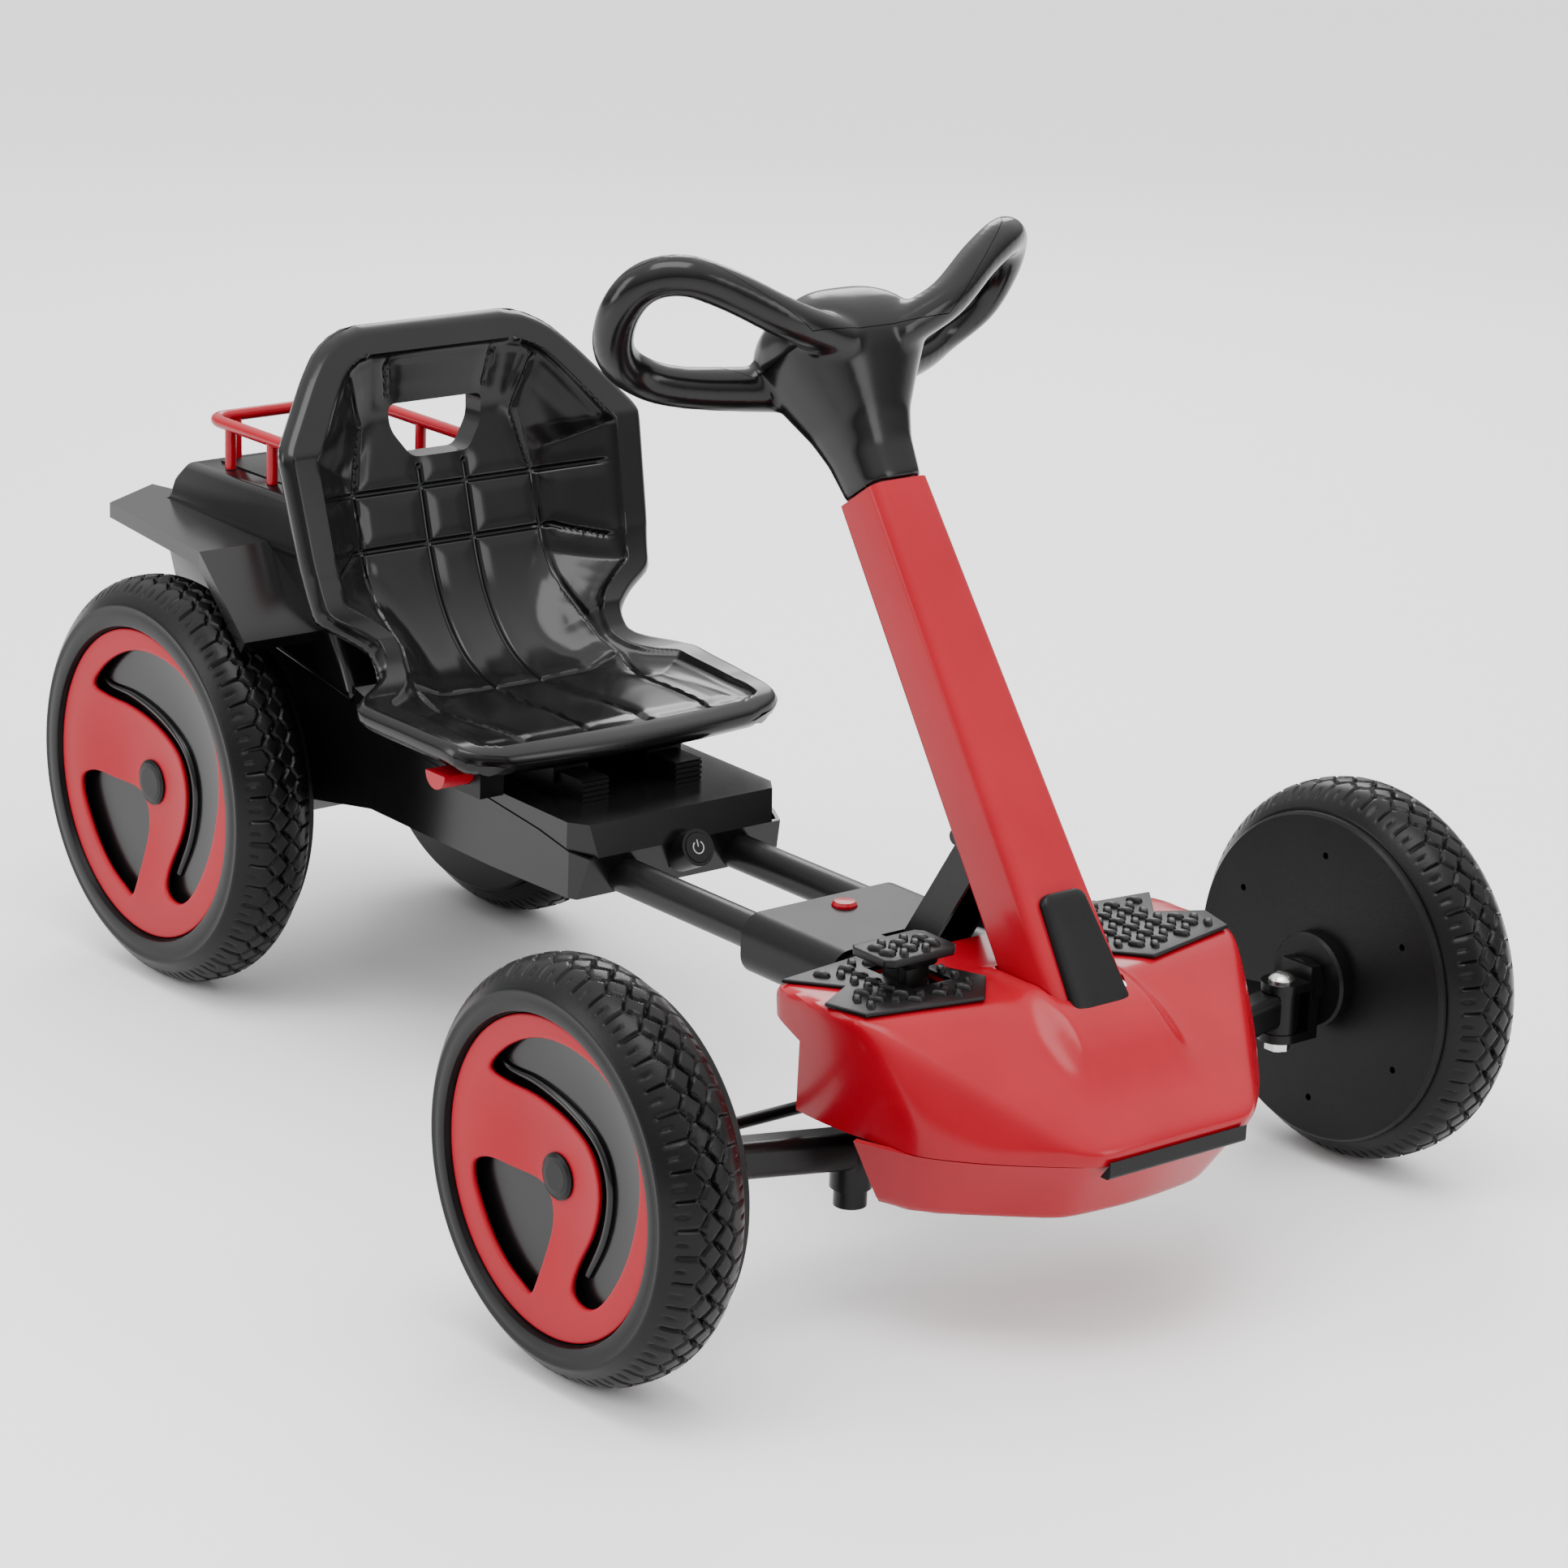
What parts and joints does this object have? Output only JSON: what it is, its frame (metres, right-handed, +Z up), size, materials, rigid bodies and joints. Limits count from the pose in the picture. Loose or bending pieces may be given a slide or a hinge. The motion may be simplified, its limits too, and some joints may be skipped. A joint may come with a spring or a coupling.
{
  "type": "pedal go kart",
  "caption": "Ride-on go kart: bucket seat on a slide, telescoping frame, looped steering head on a raked column, linked front wheels, geared rear wheels, foot pedal and rear rack.",
  "frame": {"origin": "floor level, under the middle of the overall length and width", "axes": "+X forward, +Y to the driver's left, +Z up"},
  "size_m": [1.135, 0.761, 0.6755],
  "materials": {
    "black_gloss": "gloss",
    "red_plastic": "gloss",
    "red_metal": "gloss",
    "tyre": "satin",
    "black_satin": "satin",
    "black_metal": "satin",
    "steel": "satin",
    "nylon": "matt",
    "battery_case": "matt",
    "circuit_board": "satin"
  },
  "bodies": {
    "rear_frame": {"base_tray": "black_gloss", "base_cover": "black_gloss", "main_tubes": "black_metal", "rear_housing": "black_gloss", "deck_panel": "black_satin", "control_board": "circuit_board", "fender_left": "black_gloss", "fender_right": "black_gloss", "luggage_rack": "red_metal", "battery": "battery_case", "button_bezel": "black_satin", "seat_rails": "black_satin", "rear_axle": "steel", "gearbox_cases": "black_satin", "motors": "steel"},
    "seat": {"seat_shell": "black_gloss", "seat_runners": "black_satin"},
    "seat_button": {"seat_button": "red_plastic"},
    "power_button": {"power_button": "black_satin"},
    "motor_pinion_left": {"motor_pinion_left": "steel"},
    "motor_pinion_right": {"motor_pinion_right": "steel"},
    "front_frame": {"front_frame": "black_metal", "brace_strut": "black_metal", "connector_block": "black_satin", "nose_cover": "red_plastic", "nose_skirt": "red_plastic", "nose_strip": "black_satin", "foot_pad_left": "black_satin", "foot_pad_right": "black_satin", "column_shell": "red_plastic", "column_insert": "black_satin", "steering_bushes": "nylon", "kingpin_left": "steel", "kingpin_right": "steel"},
    "frame_button": {"frame_button": "red_plastic"},
    "steering": {"steering_shaft": "steel", "head_lower": "black_gloss", "head_upper": "black_gloss"},
    "tie_rod": {"tie_rod": "black_metal"},
    "knuckle_left": {"knuckle_left": "black_metal"},
    "knuckle_right": {"knuckle_right": "black_metal"},
    "pedal": {"pedal": "black_satin"},
    "rear_wheel_left": {"tyre_rear_left": "tyre", "wheel_disc_rear_left": "black_satin", "wheel_cover_rear_left": "red_plastic", "hub_cap_rear_left": "black_satin", "drive_gear_left": "nylon"},
    "front_wheel_left": {"tyre_front_left": "tyre", "wheel_disc_front_left": "black_satin", "wheel_cover_front_left": "red_plastic", "hub_cap_front_left": "black_satin"},
    "rear_wheel_right": {"tyre_rear_right": "tyre", "wheel_disc_rear_right": "black_satin", "wheel_cover_rear_right": "red_plastic", "hub_cap_rear_right": "black_satin", "drive_gear_right": "nylon"},
    "front_wheel_right": {"tyre_front_right": "tyre", "wheel_disc_front_right": "black_satin", "wheel_cover_front_right": "red_plastic", "hub_cap_front_right": "black_satin"}
  },
  "joints": [
    {"name": "seat_slide", "type": "slide", "parent": "rear_frame", "child": "seat", "axis": [1, 0, 0], "range_m": [0, 0.06]},
    {"name": "seat_button_press", "type": "slide", "parent": "seat", "child": "seat_button", "axis": [0, 1, 0], "range_m": [0, 0.005], "stiffness_N_per_m": 400, "springref_m": -0.003},
    {"name": "power_button_press", "type": "slide", "parent": "rear_frame", "child": "power_button", "axis": [-0.9063, 0, -0.4226], "range_m": [0, 0.003], "stiffness_N_per_m": 500, "springref_m": -0.003},
    {"name": "frame_length", "type": "slide", "parent": "rear_frame", "child": "front_frame", "axis": [1, 0, 0], "range_m": [-0.1, 0]},
    {"name": "frame_button_press", "type": "slide", "parent": "front_frame", "child": "frame_button", "axis": [0, 0, -1], "range_m": [0, 0.004], "stiffness_N_per_m": 500, "springref_m": -0.003},
    {"name": "steering_turn", "type": "hinge", "parent": "front_frame", "child": "steering", "pos_m": [0.4395, 0, 0.231], "axis": [-0.5721, 0, 0.8202], "range_deg": [-30, 30]},
    {"name": "tie_rod_shift", "type": "slide", "parent": "front_frame", "child": "tie_rod", "axis": [0, 1, 0], "range_m": [-0.0205, 0.0205]},
    {"name": "pedal_press", "type": "hinge", "parent": "front_frame", "child": "pedal", "pos_m": [0.3505, -0.09, 0.185], "axis": [0, 1, 0], "range_deg": [0, 9], "stiffness_Nm_per_rad": 3, "springref_deg": -6.88},
    {"name": "knuckle_left_turn", "type": "hinge", "parent": "front_frame", "child": "knuckle_left", "pos_m": [0.3865, 0.272, 0.126], "axis": [0, 0, 1], "range_deg": [-25, 25]},
    {"name": "front_wheel_left_spin", "type": "hinge", "parent": "knuckle_left", "child": "front_wheel_left", "pos_m": [0.3865, 0.3475, 0.14], "axis": [0, 1, 0], "continuous": true},
    {"name": "rear_wheel_left_spin", "type": "hinge", "parent": "rear_frame", "child": "rear_wheel_left", "pos_m": [-0.4065, 0.159, 0.161], "axis": [0, 1, 0], "continuous": true},
    {"name": "motor_pinion_left_spin", "type": "hinge", "parent": "rear_frame", "child": "motor_pinion_left", "pos_m": [-0.374, 0.081, 0.161], "axis": [0, 1, 0], "continuous": true},
    {"name": "knuckle_right_turn", "type": "hinge", "parent": "front_frame", "child": "knuckle_right", "pos_m": [0.3865, -0.272, 0.126], "axis": [0, 0, 1], "range_deg": [-25, 25]},
    {"name": "front_wheel_right_spin", "type": "hinge", "parent": "knuckle_right", "child": "front_wheel_right", "pos_m": [0.3865, -0.3475, 0.14], "axis": [0, 1, 0], "continuous": true},
    {"name": "rear_wheel_right_spin", "type": "hinge", "parent": "rear_frame", "child": "rear_wheel_right", "pos_m": [-0.4065, -0.159, 0.161], "axis": [0, 1, 0], "continuous": true},
    {"name": "motor_pinion_right_spin", "type": "hinge", "parent": "rear_frame", "child": "motor_pinion_right", "pos_m": [-0.374, -0.081, 0.161], "axis": [0, 1, 0], "continuous": true}
  ],
  "couplings": [
    {"joint": "tie_rod_shift", "follows": "steering_turn", "m_per_rad": -0.0386},
    {"joint": "knuckle_left_turn", "follows": "steering_turn", "ratio": 0.818},
    {"joint": "motor_pinion_left_spin", "follows": "rear_wheel_left_spin", "ratio": -3.3333},
    {"joint": "knuckle_right_turn", "follows": "steering_turn", "ratio": 0.818},
    {"joint": "motor_pinion_right_spin", "follows": "rear_wheel_right_spin", "ratio": -3.3333}
  ]
}
